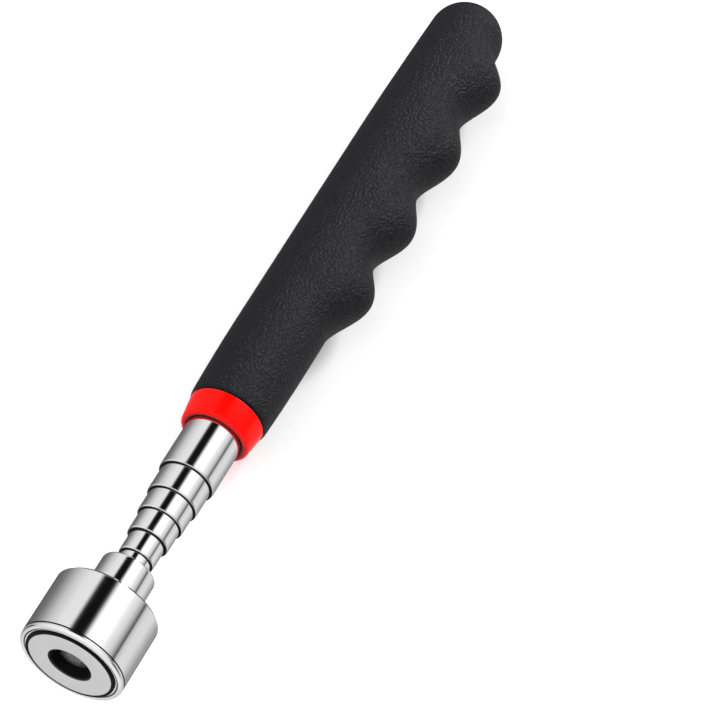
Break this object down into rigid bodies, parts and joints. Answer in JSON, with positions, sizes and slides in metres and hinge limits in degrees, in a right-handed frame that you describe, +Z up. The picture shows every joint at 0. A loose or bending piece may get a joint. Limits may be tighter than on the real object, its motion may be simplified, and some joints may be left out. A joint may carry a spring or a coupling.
{
  "type": "telescoping magnetic pick-up tool",
  "caption": "Hand tool with a chrome telescoping mast, a ring magnet head with a lamp in its centre, a red collar and a black rubber grip with finger crests.",
  "frame": {"origin": "centre of the magnet's working face, on the mast's axis", "axes": "+X along the mast from the magnet to the grip's domed end, -Y towards the finger crests, +Z up as the tool lies on a table"},
  "size_m": [0.1876, 0.0247, 0.022],
  "materials": {
    "chrome": "bright chrome plate",
    "pole_face": "satin nickel plate",
    "magnet": "nickel-plated ferrite",
    "steel": "bare steel",
    "black_plastic": "black moulded plastic",
    "clear_lens": "clear",
    "lamp_body": "water-clear epoxy",
    "board": "circuit board",
    "brass": "spring bronze",
    "cell_can": "nickel-plated can",
    "red_plastic": "glossy red",
    "grip_rubber": "fine-grained black rubber",
    "core_plastic": "grey moulded plastic",
    "seal_rubber": "black rubber"
  },
  "bodies": {
    "handle": {"grip": "grip_rubber", "collar": "red_plastic", "core_tube": "core_plastic", "end_plug": "core_plastic", "tube_1": "chrome"},
    "stage_2": {"tube_2": "chrome", "friction_shoe_1": "brass", "stop_bush_1": "brass"},
    "stage_3": {"tube_3": "chrome", "friction_shoe_2": "brass", "stop_bush_2": "brass"},
    "stage_4": {"tube_4": "chrome", "friction_shoe_3": "brass", "stop_bush_3": "brass"},
    "stage_5": {"tube_5": "chrome", "friction_shoe_4": "brass", "stop_bush_4": "brass"},
    "rod_slider": {"swivel_bush": "brass", "friction_shoe_5": "brass", "stop_bush_5": "brass"},
    "rod": {"inner_rod": "chrome", "battery_tube": "chrome", "seal_ring": "seal_rubber", "contact_spring": "steel", "button_cell_1": "cell_can", "button_cell_2": "cell_can", "button_cell_3": "cell_can"},
    "head": {"head_shell": "chrome", "pole_plate": "pole_face", "ring_magnet": "magnet", "back_yoke": "steel", "spacer_sleeve": "black_plastic", "lamp_holder": "black_plastic", "lamp_lens": "clear_lens", "lamp": "lamp_body", "lamp_board": "board"}
  },
  "joints": [
    {"name": "slide_1", "type": "slide", "parent": "handle", "child": "stage_2", "axis": [-1, 0, 0], "range_m": [0, 0.118]},
    {"name": "slide_2", "type": "slide", "parent": "stage_2", "child": "stage_3", "axis": [-1, 0, 0], "range_m": [0, 0.118]},
    {"name": "slide_3", "type": "slide", "parent": "stage_3", "child": "stage_4", "axis": [-1, 0, 0], "range_m": [0, 0.118]},
    {"name": "slide_4", "type": "slide", "parent": "stage_4", "child": "stage_5", "axis": [-1, 0, 0], "range_m": [0, 0.118]},
    {"name": "slide_5", "type": "slide", "parent": "stage_5", "child": "rod_slider", "axis": [-1, 0, 0], "range_m": [0, 0.118]},
    {"name": "rod_swivel", "type": "hinge", "parent": "rod_slider", "child": "rod", "pos_m": [0.149, 0, 0], "axis": [-1, 0, 0], "continuous": true},
    {"name": "head_twist", "type": "hinge", "parent": "rod", "child": "head", "pos_m": [0.012, 0, 0], "axis": [-1, 0, 0], "range_deg": [0, 90]}
  ]
}
